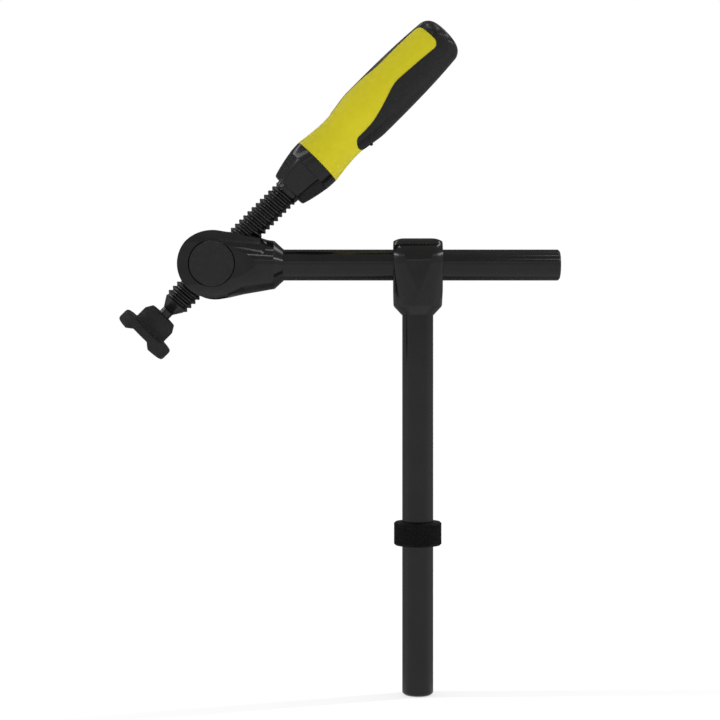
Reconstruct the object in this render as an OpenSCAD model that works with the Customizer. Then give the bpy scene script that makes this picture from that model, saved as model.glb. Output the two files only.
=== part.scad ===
// Screw clamp for a welding table: a round post that drops into a table hole, an arm that slides and
// rolls in the head of the post, and a threaded spindle that tilts in a fork at the end of the arm.
// Millimetres. The origin is on the axis of the post in the plane of the table, under the stop collar.
// +Z is up the post and +X points along the arm to its free end. The spindle leans in the XZ plane.

/* [Post] */
// Diameter of the post, a sliding fit in a 16 mm table hole
post_d = 15.9; // [14:0.1:18]
// Length of the post below the table
post_below = 76.5; // [50:0.5:110]
// Chamfer on the lower end of the post
post_chamfer = 1; // [0.5:0.1:2]
// Width of the groove that marks the standard height of the collar
datum_w = 2.2; // [1.2:0.1:4]
// Depth of that groove
datum_depth = 0.4; // [0.2:0.05:0.8]
// How far that groove shows below the collar
datum_drop = 0.3; // [0.1:0.05:0.6]

/* [Stop collar] */
// Wall of the collar outside the post
collar_wall = 4.25; // [3.5:0.05:6]
// Height of the collar
collar_h = 12; // [8:0.5:18]
// Chamfer on the edges of the collar
collar_edge = 0.8; // [0.3:0.1:1.5]

/* [T head] */
// Height of the axis of the arm above the table
arm_height = 143.5; // [100:0.5:200]
// Wall of the head round the arm
tee_wall = 5.75; // [4.5:0.05:8]
// Length of the head along the arm
tee_width = 25; // [22:0.5:34]
// Half depth of the upright round that the crown is cut from
tee_depth = 14.7; // [13.8:0.1:17]
// Half length of that round along the arm
tee_side = 16.8; // [14:0.1:20]
// How soft the shoulders of that round are
tee_soft = 0.38; // [0.2:0.01:0.8]
// Wall of the head round the post
tee_neck_wall = 4.55; // [3.5:0.05:7]
// Drop from the axis of the arm to the point of the flat facets front and back
tee_flat_drop = 13.5; // [11:0.5:15]
// Drop from the axis of the arm to where the head has become round
tee_neck_drop = 18.5; // [17:0.5:22]
// Length of the round part of the head
tee_neck_len = 2.5; // [2:0.5:8]
// Length of the cone under the round part
tee_cone_len = 4.7; // [3:0.1:8]
// Metal left between the arm and the top of the post
tee_roof = 2.6; // [2:0.1:4]

/* [Rubber rings] */
// Section of the friction rings on the arm and in the collar
ring_d = 1.9; // [1.5:0.1:2.4]
// Room beside a ring in its groove
ring_room = 0.3; // [0.2:0.05:0.6]
// Distance of the arm's rings from the ends of the T head
ring_inset = 4.5; // [3.5:0.1:5.5]

/* [Arm] */
// Diameter of the arm
arm_d = 15.9; // [14:0.1:18]
// Distance from the axis of the post to the pivot of the spindle
arm_reach = 104.5; // [90:0.5:160]
// Distance from the axis of the post to the free end of the arm
arm_free = 72.7; // [50:0.1:120]
// Chamfer on the free end of the arm
arm_chamfer = 0.9; // [0.4:0.1:2]

/* [Spindle head] */
// Metal of the head outside the barrel nut
head_wall = 5.7; // [5:0.1:8]
// Thickness of each cheek of the fork
cheek_t = 6.25; // [6.1:0.05:8]
// Rounding of the upper and lower edges of the cheeks
cheek_round = 6; // [3:0.1:6]
// Rounding of the corners at the inner end of the cheeks
cheek_corner = 8; // [6.5:0.5:9]
// Length of the cheeks from the pivot to the middle of those corners
cheek_run = 15.2; // [12:0.1:18]
// Room on each side of the spindle in the fork
slot_gap = 0.4; // [0.4:0.05:1]
// Depth of the socket for the arm
socket_len = 15; // [12:0.5:20]
// Metal between the fork and the socket
socket_web = 2; // [1.5:0.1:4]
// Wall of the neck round the arm
head_neck_wall = 4.35; // [3:0.05:6]
// Length of the chamfer at the end of the neck
head_chamfer = 4.6; // [3:0.1:6]
// Narrow rim left where the neck runs out on the arm
head_rim = 0.15; // [0.1:0.05:0.5]

/* [Pins] */
// Diameter of the spring pins in the two heads
pin_d = 4; // [3:0.5:5]
// Depth of the spring pins below the surface
pin_sink = 0.5; // [0.3:0.1:1]

/* [Spindle] */
// Lean of the spindle from upright, at rest on the end of its slot
lean = 45; // [40:1:50]
// Outer diameter of the thread
thread_d = 14.4; // [12:0.1:15]
// Length of the thread below the pivot
thread_below = 27.8; // [24:0.1:40]
// Length of the thread from the pivot up to the ferrule
thread_above = 54.3; // [50:0.1:90]
// Wall of the barrel nut beside the thread
barrel_wall = 4.5; // [4:0.1:6]
// Edge break on the barrel nut
barrel_edge = 0.4; // [0.2:0.1:0.8]
// How far the cone starts inside the thread
tip_step = 0.7; // [0.5:0.1:1.5]
// Length of the cone below the thread
tip_len = 5.4; // [4:0.1:8]
// Diameter of the neck above the ball
neck_d = 6.2; // [5:0.1:7]
// Length from the cone to the centre of the ball
neck_len = 10.3; // [9.8:0.1:14]
// Diameter of the ball
ball_d = 10; // [9.5:0.1:11]
// Width across the flats of the tang in the handle
tang_af = 10; // [8:0.5:11]
// Length of the tang
tang_len = 82; // [75:1:100]

/* [Pressure pad] */
// Diameter of the flange
pad_d = 30.8; // [27:0.1:40]
// Thickness of the flange
pad_flange_t = 7; // [6:0.05:9]
// Rounding of the edge of the flange
pad_edge = 1.6; // [0.5:0.1:2]
// Height of the hub above the centre of the ball
pad_hub_h = 7.1; // [6.2:0.1:7.4]
// Wall of the hub outside the clip
pad_hub_wall = 3; // [2:0.05:4]
// Width of the chamfer round the top of the hub
pad_chamfer = 2.1; // [0.8:0.1:2.2]
// Height of that chamfer
pad_chamfer_h = 3.6; // [1.5:0.1:4]
// Metal under the ball
pad_web = 2.5; // [2:0.05:6]
// Depth of the groove that grips a tube
groove_depth = 2.75; // [1.5:0.1:4]
// Width of the floor of the groove
groove_floor = 10; // [6:0.5:12]
// Width of the mouth of the groove
groove_mouth = 16; // [13:0.5:20]
// Wire of the clip that holds the ball
clip_wire = 1.6; // [1.2:0.1:1.8]
// Height of the clip above the centre of the ball
clip_rise = 3.3; // [3:0.1:3.6]
// Room round the clip for the pad to tilt
clip_room = 1; // [0.9:0.05:1.2]

/* [Handle] */
// Angle of the grip's tongues about the spindle
handle_turn = -28; // [-180:1:180]
// Length of the ferrule
ferrule_len = 20.6; // [16:0.1:26]
// Width of the ferrule's lower face outside the thread
ferrule_lip = 2.7; // [2.2:0.1:4]
// How far the sides of the ferrule bulge
ferrule_bulge = 0.9; // [0.3:0.1:1.5]
// Length of the wrench flats on the ferrule
hex_len = 14; // [10:0.5:15]
// Depth of the wrench flats
hex_depth = 1.2; // [0.6:0.1:1.5]
// Angle of the wrench flats about the spindle
hex_turn = 33; // [0:1:60]
// Length of the handle above the ferrule
handle_len = 92.5; // [85:0.5:120]
// Radius where the handle meets the ferrule
base_r = 13.6; // [12.5:0.05:15]
// Radius of the waist
waist_r = 12.05; // [11:0.05:13]
// Height of the waist
waist_at = 17; // [14:0.5:20]
// Radius of the belly
belly_r = 14.05; // [13:0.05:16]
// Height of the belly
belly_at = 36; // [32:0.5:42]
// Radius where the end begins to round off
tail_r = 12.6; // [11.5:0.05:14]
// Rounding of the end
end_round = 6; // [4:0.1:7]
// Thickness of the soft grip
grip_t = 2; // [1.5:0.1:2.5]
// How far the grip stands proud of the core
grip_proud = 0.25; // [0.1:0.05:0.5]
// Height of the tip of the tongues
tongue_tip = 20; // [16:0.5:24]
// Length of the rounded tip
tongue_round = 4; // [3:0.5:7]
// Half width of the tongues behind the tip
tongue_tip_w = 5.8; // [4:0.1:7]
// Height at which the tongues are widest
tongue_wide_at = 53; // [50:0.5:62]
// Half width of the window between the tongues at its narrowest
window_w = 7.3; // [6:0.1:9]
// Half width of the window at its upper end
window_end_w = 8.5; // [7:0.1:10]
// Distance from the window to the end of the handle
window_margin = 7.5; // [5.5:0.5:10]
// Corner radius of the window
window_round = 3.5; // [2:0.1:5]
// Diameter of the pin through core and tang
handle_pin_d = 3; // [2:0.5:4]

/* [Fits] */
// Radial clearance of sliding and turning fits
running = 0.05; // [0.02:0.01:0.1]
// Radial clearance of the collar on the post
collar_gap = 0.1; // [0.05:0.01:0.1]
// Gap of pressed and moulded joints
bond = 0.02; // [0.01:0.01:0.04]

/* [Hidden] */
$fn = 64;

past = 1;
hull_sides = 48;
steel = "#2b2c2e";
blackened = "#3a3b3d";
bright_steel = "#9a9c9f";
ring_black = "#1b1b1c";
core_yellow = "#c6ba30";
grip_black = "#26272a";

post_r = post_d / 2;
arm_r = arm_d / 2;
thread_r = thread_d / 2;
ball_r = ball_d / 2;
neck_r = neck_d / 2;
wire_r = clip_wire / 2;

// T head
tee_r = arm_r + tee_wall;
tee_neck_r = post_r + tee_neck_wall;
tee_cone_top = arm_height - tee_neck_drop - tee_neck_len;
tee_bottom = tee_cone_top - tee_cone_len;
tee_flat_side = (tee_side + tee_neck_r) / 2;
tee_rim = 0.15;
shoulder_steps = 7;
shoulder_end = 88;
post_top = arm_height - arm_r - running - tee_roof;
post_pin_z = arm_height - (tee_flat_drop + tee_neck_drop + tee_neck_len) / 2;
ring_x = tee_width / 2 - ring_inset;

// Spindle head, measured from the pivot
barrel_r = thread_r + barrel_wall;
head_r = barrel_r + head_wall;
slot_w = thread_d + 2 * slot_gap;
slot_half = slot_w / 2;
head_t = slot_w + 2 * cheek_t;
barrel_len = head_t - barrel_edge;
socket_x = (slot_half + arm_r * sin(lean)) / cos(lean) + socket_web;
head_neck_r = arm_r + head_neck_wall;
head_end = socket_x + socket_len;
head_taper_end = head_end - head_chamfer;
head_tangent = atan2(head_neck_r, head_taper_end)
    + acos(head_r / norm([head_taper_end, head_neck_r]));
cheek_corner_z = (head_r - cheek_corner - cheek_run * cos(head_tangent)) / sin(head_tangent);
arm_pin_x = socket_x + socket_len / 2;

// Spindle and pad, measured along the spindle from the pivot
tip_r = thread_r - tip_step;
ball_drop = thread_below + tip_len + neck_len;
clip_gap = 0.15;
mouth_gap = 0.2;
clip_r = sqrt(pow(ball_r + wire_r + clip_gap, 2) - pow(clip_rise, 2));
mouth_r = ball_r + mouth_gap;
chamber_gap = 0.75;
chamber_r = clip_r + wire_r + chamber_gap;
hub_r = chamber_r + pad_hub_wall;
pad_bottom = -(ball_r + running + pad_web + groove_depth);
pad_top = pad_bottom + pad_flange_t;
tang_flat_d = tang_af / cos(30);

// Handle, measured from the top of the ferrule
ferrule_low_r = thread_r + ferrule_lip;
handle_z = thread_above + ferrule_len;
tail_at = handle_len - end_round;
window_end = handle_len - window_margin;
base_slope = -0.11;
belly_slope = 0.005;
tail_slope = -0.09;
tongue_slope = 0.13;
knee_slope = 0.2;
handle_steps = 6;
outline_steps = 5;
least_step = 0.1;
handle_pin_below = 10;
handle_pin_at = tongue_wide_at - handle_pin_below;
tongue_wide_w = sqrt(pow(handle_r(tongue_wide_at), 2) - pow(window_w, 2));

// Points on an arc
function arc(centre, r, from, to, steps = 5) =
    [for (i = [0 : steps]) let (a = from + (to - from) * i / steps) centre + r * [cos(a), sin(a)]];

// Cubic between two stations, each a place, a value and a slope
function blend(a, b, x) =
    let (span = b[0] - a[0], t = (x - a[0]) / span, rise = 3 * pow(t, 2) - 2 * pow(t, 3))
    a[1] + (b[1] - a[1]) * rise
    + span * (a[2] * t * pow(1 - t, 2) - b[2] * pow(t, 2) * (1 - t));

// Radius of the handle at a height above the ferrule
function handle_r(x) =
    let (
        base = [0, base_r, base_slope],
        waist = [waist_at, waist_r, 0],
        belly = [belly_at, belly_r, belly_slope],
        tail = [tail_at, tail_r, tail_slope]
    )
    x < waist_at ? blend(base, waist, x) : x < belly_at ? blend(waist, belly, x) : blend(belly, tail, x);

// Heights at which the handle's outline has points, from a height upwards
function heights(from) =
    let (stations = [0, waist_at, belly_at, tail_at])
    [
        from,
        for (k = [0 : 2]) for (i = [0 : handle_steps - 1])
            let (x = stations[k] + (stations[k + 1] - stations[k]) * i / handle_steps)
            if (x > from + least_step) x,
    ];

// Half width of a grip tongue
function tongue_w(x) =
    let (
        shoulder = [tongue_tip + tongue_round, tongue_tip_w, tongue_slope],
        wide = [tongue_wide_at, tongue_wide_w, knee_slope]
    )
    blend(shoulder, wide, x);

// Places of the moving groups
module at_arm() {
    translate([0, 0, arm_height]) children();
}

module along_arm() {
    at_arm() rotate([0, 90, 0]) children();
}

module at_pivot() {
    translate([-arm_reach, 0, arm_height]) children();
}

module along_spindle() {
    at_pivot() rotate([0, lean, 0]) children();
}

module at_ball() {
    along_spindle() translate([0, 0, -ball_drop]) children();
}

module at_handle() {
    along_spindle() translate([0, 0, handle_z]) rotate(handle_turn) children();
}

// An outline in X and Z drawn out along Y
module across(depth) {
    rotate([90, 0, 0]) linear_extrude(depth, center = true) children();
}

// A round bar with one chamfered end, from z = 0 to its length
module chamfered_bar(r, len, chamfer) {
    rotate_extrude() polygon([[0, 0], [r - chamfer, 0], [r, chamfer], [r, len], [0, len]]);
}

// A rubber ring that hugs a bar, and the groove that holds it
module rubber_ring(bar_r) {
    rotate_extrude() translate([bar_r + running + ring_d / 2, 0]) circle(d = ring_d);
}

module ring_groove(bar_r) {
    groove_r = bar_r + ring_d + 2 * running;
    groove_w = ring_d + 2 * ring_room;
    translate([0, 0, -groove_w / 2]) cylinder(r = groove_r, h = groove_w);
}

module post() {
    color(steel) difference() {
        translate([0, 0, -post_below]) chamfered_bar(post_r, post_below + post_top, post_chamfer);
        datum_groove();
        post_pin_hole();
    }
}

module datum_groove() {
    translate([0, 0, -datum_drop]) difference() {
        cylinder(r = post_r + past, h = datum_w);
        translate([0, 0, -past]) cylinder(r = post_r - datum_depth, h = datum_w + 2 * past);
    }
}

module post_pin_hole() {
    translate([0, 0, post_pin_z]) rotate([0, 90, 0])
        cylinder(d = pin_d + 2 * bond, h = 2 * tee_neck_r + 2 * past, center = true);
}

module post_pin() {
    color(bright_steel) translate([0, 0, post_pin_z]) rotate([0, 90, 0])
        cylinder(d = pin_d, h = 2 * (tee_neck_r - pin_sink), center = true);
}

// Upright round with soft shoulders, as high as the crown
module tee_round() {
    at_arm() scale([tee_side / tee_depth, 1, 1]) rotate_extrude($fn = hull_sides) polygon([
        [0, 0],
        for (i = [0 : shoulder_steps])
            let (a = shoulder_end * sin(90 * i / shoulder_steps))
            [tee_depth * pow(cos(a), tee_soft), tee_r * sin(a)],
        [0, tee_r],
    ]);
}

// The crown round the arm narrows to the round neck, which leaves a pointed upright facet on each side
module tee_outside() {
    hull() {
        intersection() {
            tee_round();
            along_arm() cylinder(r = tee_r, h = tee_width, center = true, $fn = hull_sides);
        }
        translate([0, 0, arm_height - tee_flat_drop]) intersection() {
            scale([tee_flat_side / tee_r, 1, 1]) cylinder(r = tee_r, h = tee_rim, $fn = hull_sides);
            cube([tee_width, 2 * tee_r, past], center = true);
        }
        translate([0, 0, arm_height - tee_neck_drop - past])
            cylinder(r = tee_neck_r, h = past, $fn = hull_sides);
    }
    rotate_extrude() polygon([
        [0, tee_bottom], [post_r + tee_rim, tee_bottom], [tee_neck_r, tee_cone_top],
        [tee_neck_r, arm_height - tee_neck_drop], [0, arm_height - tee_neck_drop],
    ]);
}

module t_head() {
    color(blackened) difference() {
        tee_outside();
        along_arm() cylinder(r = arm_r + running, h = tee_width + 2 * past, center = true);
        for (side = [-1, 1]) along_arm() translate([0, 0, side * ring_x]) ring_groove(arm_r);
        translate([0, 0, tee_bottom - past]) cylinder(r = post_r + bond, h = post_top - tee_bottom + past);
        post_pin_hole();
    }
}

module arm_ring(side) {
    color(ring_black) along_arm() translate([0, 0, side * ring_x]) rubber_ring(arm_r);
}

module arm_ring_left() {
    arm_ring(-1);
}

module arm_ring_right() {
    arm_ring(1);
}

module stop_collar() {
    outer = post_r + collar_wall;
    color(ring_black) difference() {
        rotate_extrude() polygon([
            [post_r + collar_gap, 0], [outer - collar_edge, 0], [outer, collar_edge],
            [outer, collar_h - collar_edge], [outer - collar_edge, collar_h], [post_r + collar_gap, collar_h],
        ]);
        translate([0, 0, collar_h / 2]) ring_groove(post_r);
    }
}

module collar_ring() {
    color(ring_black) translate([0, 0, collar_h / 2]) rubber_ring(post_r);
}

module arm_pin_hole() {
    at_pivot() translate([arm_pin_x, 0, 0])
        cylinder(d = pin_d + 2 * bond, h = 2 * head_r + 2 * past, center = true);
}

module arm_pin() {
    color(bright_steel) at_pivot() translate([arm_pin_x, 0, 0])
        cylinder(d = pin_d, h = 2 * (head_neck_r - pin_sink), center = true);
}

module arm_bar() {
    len = arm_free + arm_reach - socket_x;
    color(steel) difference() {
        translate([arm_free, 0, arm_height]) rotate([0, -90, 0]) chamfered_bar(arm_r, len, arm_chamfer);
        arm_pin_hole();
    }
}

// Round disc about the pivot's axis with rounded edges
module rounded_disc(r) {
    flat = head_t / 2 - cheek_round;
    rotate([90, 0, 0]) rotate_extrude($fn = hull_sides) polygon([
        [0, -head_t / 2],
        for (p = arc([r - cheek_round, -flat], cheek_round, -90, 0)) p,
        for (p = arc([r - cheek_round, flat], cheek_round, 0, 90)) p,
        [0, head_t / 2],
    ]);
}

// Nose about the pivot, rounded only along its upper and lower edges
module head_nose() {
    corner = [head_t / 2 - cheek_round, head_r - cheek_round];
    quarters = [[1, 1], [-1, 1], [-1, -1], [1, -1]];
    nose_len = head_r * (1 + cos(head_tangent));
    intersection() {
        rotate([90, 0, 0]) cylinder(r = head_r, h = head_t, center = true, $fn = hull_sides);
        translate([-head_r, 0, 0]) rotate([90, 0, 90]) linear_extrude(nose_len) polygon([
            for (k = [0 : 3]) let (middle = [quarters[k][0] * corner[0], quarters[k][1] * corner[1]])
                for (p = arc(middle, cheek_round, 90 * k, 90 * k + 90)) p,
        ]);
    }
}

// The two cheeks before the fork is cut: a plate that tapers along the neck
module head_cheeks() {
    hull() {
        head_nose();
        for (side = [-1, 1]) translate([cheek_run, 0, side * cheek_corner_z]) rounded_disc(cheek_corner);
    }
}

// Turned neck: a taper in line with the cheeks and a chamfer down to the arm
module head_neck() {
    intersection() {
        rotate([0, 90, 0]) rotate_extrude() polygon([
            [0, 0], [head_r / sin(head_tangent), 0], [head_neck_r, head_taper_end],
            [arm_r + head_rim, head_end], [0, head_end],
        ]);
        translate([0, -head_t / 2, -head_r - past]) cube([head_end, head_t, 2 * head_r + 2 * past]);
    }
}

// Room for the spindle between its lean and upright
module slot_outline() {
    far = head_r + past;
    corner_z = -slot_half * tan(lean / 2);
    polygon([
        [-far, -far], [slot_half, -far], [slot_half, corner_z],
        [(slot_half + far * sin(lean)) / cos(lean), far], [-far, far],
    ]);
}

module spindle_head() {
    color(blackened) difference() {
        at_pivot() {
            head_cheeks();
            head_neck();
        }
        at_pivot() across(slot_w) slot_outline();
        at_pivot() rotate([90, 0, 0]) cylinder(r = barrel_r + running, h = head_t + 2 * past, center = true);
        at_pivot() translate([socket_x, 0, 0]) rotate([0, 90, 0])
            cylinder(r = arm_r + bond, h = socket_len + past);
        arm_pin_hole();
    }
}

module barrel_nut() {
    color(blackened) difference() {
        at_pivot() rotate([90, 0, 0]) translate([0, 0, -barrel_len / 2]) rotate_extrude() polygon([
            [0, 0], [barrel_r - barrel_edge, 0], [barrel_r, barrel_edge],
            [barrel_r, barrel_len - barrel_edge], [barrel_r - barrel_edge, barrel_len], [0, barrel_len],
        ]);
        along_spindle() cylinder(r = thread_r + running, h = 2 * barrel_r + 2 * past, center = true);
    }
}

module handle_pin_hole(d) {
    at_handle() translate([0, 0, handle_pin_at]) rotate([0, 90, 0])
        cylinder(d = d, h = 4 * belly_r, center = true);
}

module spindle() {
    cone_end = -thread_below - tip_len;
    color(steel) difference() {
        along_spindle() {
            rotate_extrude() polygon([
                [0, -ball_drop], [neck_r, -ball_drop], [neck_r, cone_end], [tip_r, -thread_below],
                [thread_r, -thread_below + tip_step], [thread_r, thread_above], [0, thread_above],
            ]);
            translate([0, 0, -ball_drop]) sphere(r = ball_r);
            cylinder(d = tang_flat_d, h = thread_above + tang_len, $fn = 6);
        }
        handle_pin_hole(handle_pin_d + 2 * bond);
    }
}

module tang_hole() {
    along_spindle() translate([0, 0, thread_above - past])
        cylinder(d = tang_flat_d + 4 * bond, h = tang_len + past + bond, $fn = 6);
}

// Barrel shaped ferrule: the side is an arc through its two ends
module ferrule_outside() {
    rise = base_r - ferrule_low_r;
    rotate_extrude() polygon([
        [0, 0],
        for (i = [0 : outline_steps])
            let (t = i / outline_steps)
            [ferrule_low_r + rise * t + 4 * ferrule_bulge * t * (1 - t), ferrule_len * t],
        [0, ferrule_len],
    ]);
}

module handle_ferrule() {
    slope = atan2(base_r - ferrule_low_r, ferrule_len);
    flat_r = ferrule_low_r - hex_depth / 2;
    color(blackened) difference() {
        along_spindle() translate([0, 0, thread_above]) difference() {
            ferrule_outside();
            for (k = [0 : 5]) rotate(hex_turn + 60 * k) intersection() {
                translate([flat_r, -base_r, 0]) rotate([0, slope, 0]) translate([0, 0, -base_r])
                    cube([base_r, 2 * base_r, 3 * base_r]);
                translate([-base_r, -base_r, -past]) cube([4 * base_r, 2 * base_r, hex_len + past]);
            }
        }
        tang_hole();
    }
}

// Turned body of the handle from a height to its rounded end, with its radius changed by an amount
module handle_body(from, change) {
    rotate_extrude() polygon([
        [0, from],
        for (x = heights(from)) [handle_r(x) + change, x],
        for (p = arc([tail_r - end_round, tail_at], end_round + change, 0, 90)) p,
        [0, tail_at + end_round + change],
    ]);
}

// Outline of a tongue from its rounded tip to its widest place
module tongue_outline(gap) {
    shoulder = tongue_tip + tongue_round;
    half = [
        for (p = arc([0, 0], 1, 0, 80))
            [(tongue_tip_w + gap) * sin(acos(p[0])), shoulder - (tongue_round + gap) * p[0]],
        for (i = [0 : outline_steps])
            let (x = shoulder + (tongue_wide_at - shoulder) * i / outline_steps)
            [tongue_w(x) + gap, x],
        [tongue_wide_w + gap, tongue_wide_at + past],
    ];
    polygon(concat(half, [for (i = [len(half) - 1 : -1 : 1]) [-half[i][0], half[i][1]]]));
}

// Outline of the window that the core shows through
module window_outline(gap) {
    round_r = window_round - gap;
    half = [
        [window_w - gap, tongue_wide_at - past],
        [window_w - gap, tongue_wide_at],
        for (p = arc([window_end_w - window_round, window_end - window_round], round_r, 0, 90)) p,
    ];
    polygon(concat(half, [for (i = [len(half) - 1 : -1 : 0]) [-half[i][0], half[i][1]]]));
}

// Everything that lies under the soft grip, out to any radius
module grip_region(gap) {
    wide = 4 * belly_r;
    rotate([90, 0, 90]) linear_extrude(wide, center = true) tongue_outline(gap);
    difference() {
        translate([-wide / 2, -wide / 2, tongue_wide_at - gap]) cube([wide, wide, handle_len]);
        rotate([90, 0, 0]) linear_extrude(wide, center = true) window_outline(gap);
    }
}

module handle_core() {
    color(core_yellow) difference() {
        at_handle() {
            difference() {
                handle_body(0, 0);
                grip_region(bond);
            }
            handle_body(0, -grip_t - bond);
        }
        tang_hole();
        handle_pin_hole(handle_pin_d + 2 * bond);
    }
}

module handle_grip() {
    color(grip_black) at_handle() intersection() {
        difference() {
            handle_body(tongue_tip - past, grip_proud);
            handle_body(0, -grip_t);
        }
        grip_region(0);
    }
}

module handle_pin() {
    half = handle_r(handle_pin_at) - grip_t - bond - pin_sink;
    color(bright_steel) at_handle() translate([0, 0, handle_pin_at]) rotate([0, 90, 0])
        cylinder(d = handle_pin_d, h = 2 * half, center = true);
}

module pad_outside() {
    rim_r = pad_d / 2;
    rotate_extrude() polygon([
        [0, pad_bottom],
        for (p = arc([rim_r - pad_edge, pad_bottom + pad_edge], pad_edge, -90, 0, 4)) p,
        for (p = arc([rim_r - pad_edge, pad_top - pad_edge], pad_edge, 0, 90, 4)) p,
        for (p = arc([hub_r + pad_edge, pad_top + pad_edge], pad_edge, 270, 180, 4)) p,
        [hub_r, pad_hub_h - pad_chamfer_h],
        [hub_r - pad_chamfer, pad_hub_h],
        [0, pad_hub_h],
    ]);
}

// Seat for the ball, mouth for the neck and a chamber for the clip
module pad_socket() {
    chamber_h = clip_wire + 2 * clip_room;
    sphere(r = ball_r + running);
    cylinder(r = mouth_r, h = pad_hub_h + past);
    translate([0, 0, clip_rise - chamber_h / 2]) cylinder(r = chamber_r, h = chamber_h);
}

module pressure_pad() {
    color(steel) at_ball() difference() {
        pad_outside();
        pad_socket();
        across(pad_d + past) translate([0, pad_bottom]) polygon([
            [-groove_mouth / 2, 0], [-groove_floor / 2, groove_depth], [groove_floor / 2, groove_depth],
            [groove_mouth / 2, 0], [groove_mouth / 2, -past], [-groove_mouth / 2, -past],
        ]);
    }
}

module pad_clip() {
    clip_turn = 330;
    color(bright_steel) at_ball() translate([0, 0, clip_rise])
        rotate_extrude(angle = clip_turn) translate([clip_r, 0]) circle(d = clip_wire);
}

post();
t_head();
post_pin();
arm_ring_left();
arm_ring_right();
stop_collar();
collar_ring();
arm_bar();
spindle_head();
arm_pin();
barrel_nut();
spindle();
handle_ferrule();
handle_core();
handle_grip();
handle_pin();
pressure_pad();
pad_clip();
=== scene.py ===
# %% [markdown]
# # A screw clamp for a welding table
# The clamp stands in a table hole on a round post. An arm slides through the head of the post, and a threaded
# spindle tilts in a fork at the end of the arm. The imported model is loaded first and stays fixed, so that
# every piece made below sits in the same frame, in metres.

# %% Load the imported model
import math

import bmesh
import bpy
from mathutils import Matrix, Vector


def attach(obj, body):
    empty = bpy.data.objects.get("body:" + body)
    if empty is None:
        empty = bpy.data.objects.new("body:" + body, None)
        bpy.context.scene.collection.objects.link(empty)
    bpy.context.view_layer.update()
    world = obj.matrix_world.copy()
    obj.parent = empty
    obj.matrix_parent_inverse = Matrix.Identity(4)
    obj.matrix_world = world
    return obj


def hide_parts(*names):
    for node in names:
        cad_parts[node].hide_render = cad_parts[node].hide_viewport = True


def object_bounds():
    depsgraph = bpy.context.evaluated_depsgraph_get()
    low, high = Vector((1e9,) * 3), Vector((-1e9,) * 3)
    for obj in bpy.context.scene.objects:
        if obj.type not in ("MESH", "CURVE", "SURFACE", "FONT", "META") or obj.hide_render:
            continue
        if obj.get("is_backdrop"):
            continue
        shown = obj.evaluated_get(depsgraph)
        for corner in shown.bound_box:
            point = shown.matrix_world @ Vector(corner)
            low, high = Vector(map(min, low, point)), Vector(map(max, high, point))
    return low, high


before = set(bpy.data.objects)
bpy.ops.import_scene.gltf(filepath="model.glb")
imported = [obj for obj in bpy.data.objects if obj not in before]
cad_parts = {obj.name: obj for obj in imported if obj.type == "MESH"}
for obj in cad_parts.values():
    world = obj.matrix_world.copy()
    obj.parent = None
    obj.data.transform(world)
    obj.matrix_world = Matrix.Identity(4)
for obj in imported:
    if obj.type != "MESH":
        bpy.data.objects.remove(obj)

cad_low, cad_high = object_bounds()
scene = bpy.context.scene
MM = 0.001
print("CAD box", [round(v, 4) for v in (*cad_low, *cad_high)])

# %% [markdown]
# ## The camera
# The photograph looks straight along the Y axis with a long lens: the arm is level, the post is upright and
# nothing leans. A camera that is turned by a right angle about X gives that view, and its place and lens are
# worked out from the known size of the post.

# %% Camera
camera_data = bpy.data.cameras.new("camera")
camera_data.lens = 77.5
camera_data.sensor_width = 36
camera = bpy.data.objects.new("camera", camera_data)
camera.location = (-0.0296, -0.795, 0.0948)
camera.rotation_euler = (math.pi / 2, 0, 0)
scene.collection.objects.link(camera)
scene.camera = camera
print("camera at", tuple(round(v, 4) for v in camera.location), "lens", camera_data.lens)

# %% [markdown]
# ## The studio
# Black steel shows its surroundings more than its own colour. Here a white sweep reaches up to a low horizon
# and a darker ceiling lies above it, so that a round bar is lighter below its middle than above it. A thin
# row of lamps stands on the horizon and two more hang above it at the sides. They draw the bright lines along
# the bars and on the shoulders of the heads. The room behind the clamp is darker, which keeps the edges dark
# against the white picture. A Light Path node splits what the camera sees, what the reflections see and the
# soft light.

# %% World
scene.view_settings.view_transform = "Standard"


def maths(nodes, links, operation, *values):
    """A Math node whose inputs are numbers or sockets."""
    node = nodes.new("ShaderNodeMath")
    node.operation = operation
    for socket, value in zip(node.inputs, values):
        if isinstance(value, (int, float)):
            socket.default_value = value
        else:
            links.new(value, socket)
    return node.outputs[0]


def ramped(nodes, links, value, start, end, low, high):
    """A value that goes from low to high while another goes from start to end."""
    node = nodes.new("ShaderNodeMapRange")
    for name, number in (("From Min", start), ("From Max", end), ("To Min", low), ("To Max", high)):
        node.inputs[name].default_value = number
    links.new(value, node.inputs["Value"])
    return node.outputs["Result"]


def ray_kinds(nodes, links):
    """1 for rays from the camera, and 1 for all rays that see the studio itself."""
    path = nodes.new("ShaderNodeLightPath")
    direct = maths(nodes, links, "MAXIMUM", path.outputs["Is Camera Ray"], path.outputs["Is Glossy Ray"])
    seeing = maths(nodes, links, "MAXIMUM", direct, path.outputs["Is Transmission Ray"])
    return path.outputs["Is Camera Ray"], seeing


def chosen(nodes, links, switch, on, off):
    """One value where the switch is 1 and another where it is 0."""
    return maths(nodes, links, "MULTIPLY_ADD", switch, maths(nodes, links, "SUBTRACT", on, off), off)


def lamp_row(nodes, links, level, low, high):
    """1 between two angles above the ground, with a short fade."""
    low, high = math.sin(math.radians(low)), math.sin(math.radians(high))
    above = ramped(nodes, links, level, low - ROW_FADE, low, 0, 1)
    below = ramped(nodes, links, level, high, high + ROW_FADE, 1, 0)
    return maths(nodes, links, "MULTIPLY", above, below)


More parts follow.
